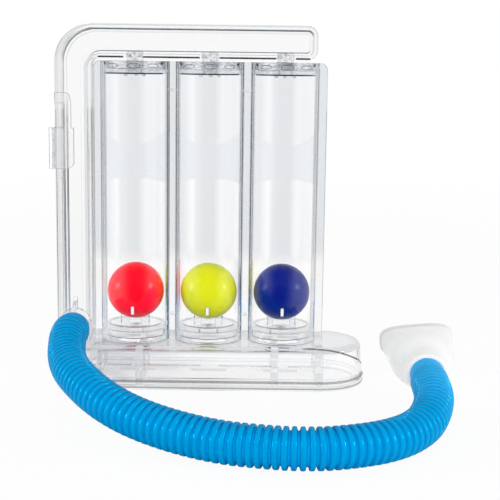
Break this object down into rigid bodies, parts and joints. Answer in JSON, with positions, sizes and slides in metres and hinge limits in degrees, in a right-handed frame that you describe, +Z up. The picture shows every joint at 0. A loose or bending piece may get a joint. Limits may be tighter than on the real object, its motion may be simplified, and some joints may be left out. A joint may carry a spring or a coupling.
{
  "type": "breathing trainer",
  "caption": "Clear breathing trainer with balls in upright chambers, an air duct beside and above them, a ribbed blue hose and a white mouthpiece.",
  "frame": {"origin": "middle of the foot's underside, under the middle ball's axis", "axes": "+Z up along the chambers; the front, with the hose port, faces -Y; +X is the viewer's right"},
  "size_m": [0.1835, 0.1542, 0.1573],
  "materials": {
    "clear_plastic": "clear, gloss",
    "frosted_plastic": "translucent, satin",
    "red_plastic": "gloss",
    "yellow_plastic": "gloss",
    "dark_blue_plastic": "gloss",
    "light_blue_plastic": "satin",
    "white_plastic": "satin, slightly translucent"
  },
  "bodies": {
    "trainer": {"chamber_front": "clear_plastic", "chamber_rear": "clear_plastic", "cap_left": "clear_plastic", "cap_middle": "clear_plastic", "cap_right": "clear_plastic", "seat_left": "clear_plastic", "seat_middle": "clear_plastic", "seat_right": "clear_plastic", "duct_shell": "clear_plastic", "duct_cover": "clear_plastic", "mouthpiece_clip": "frosted_plastic", "foot_shell": "clear_plastic", "foot_plate": "clear_plastic", "hose_cuff_duct": "light_blue_plastic", "corrugated_hose": "light_blue_plastic", "hose_cuff_mouth": "light_blue_plastic"},
    "red_ball": {"ball_red": "red_plastic"},
    "yellow_ball": {"ball_yellow": "yellow_plastic"},
    "blue_ball": {"ball_blue": "dark_blue_plastic"},
    "lip_piece": {"mouthpiece": "white_plastic"}
  },
  "joints": [
    {"name": "red_ball_rise", "type": "slide", "parent": "trainer", "child": "red_ball", "axis": [0, 0, 1], "range_m": [0, 0.0816]},
    {"name": "yellow_ball_rise", "type": "slide", "parent": "trainer", "child": "yellow_ball", "axis": [0, 0, 1], "range_m": [0, 0.0816]},
    {"name": "blue_ball_rise", "type": "slide", "parent": "trainer", "child": "blue_ball", "axis": [0, 0, 1], "range_m": [0, 0.0816]},
    {"name": "mouthpiece_pull", "type": "slide", "parent": "trainer", "child": "lip_piece", "axis": [0.0624, 0.9981, 0], "range_m": [0, 0.015]}
  ]
}
